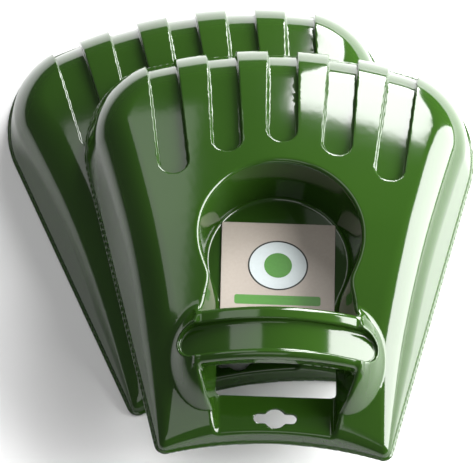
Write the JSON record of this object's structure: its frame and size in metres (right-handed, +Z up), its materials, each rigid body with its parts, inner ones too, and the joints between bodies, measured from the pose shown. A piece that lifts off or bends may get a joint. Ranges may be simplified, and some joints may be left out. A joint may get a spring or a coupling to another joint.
{
  "type": "leaf grabber hands",
  "caption": "Stacked, domed and glossy moulded hand scoops for gathering leaves, with fluted finger tips, a palm pocket, an arched grip bar, a hanging slot and a loose card.",
  "frame": {"origin": "middle of the stacked pair's footprint, on the surface that it rests on", "axes": "+Z up, out of the domed backs of the scoops; +Y from the rear scoop's wrist edge to its finger tips; +X to the right"},
  "size_m": [0.404, 0.4986, 0.1422],
  "materials": {
    "scoop_plastic": "high-gloss moulded plastic, deep green",
    "card_stock": "satin printed card, grey-beige"
  },
  "bodies": {
    "rear_hand": {"rear_scoop": "scoop_plastic"},
    "front_hand": {"front_scoop": "scoop_plastic"},
    "card": {"label_card": "card_stock"}
  },
  "joints": [
    {"name": "front_lift", "type": "slide", "parent": "rear_hand", "child": "front_hand", "axis": [0, 0, 1], "range_m": [0, 0.15]},
    {"name": "card_lift", "type": "slide", "parent": "front_hand", "child": "card", "axis": [0.0815, -0.0403, 0.9959], "range_m": [0, 0.08]}
  ]
}
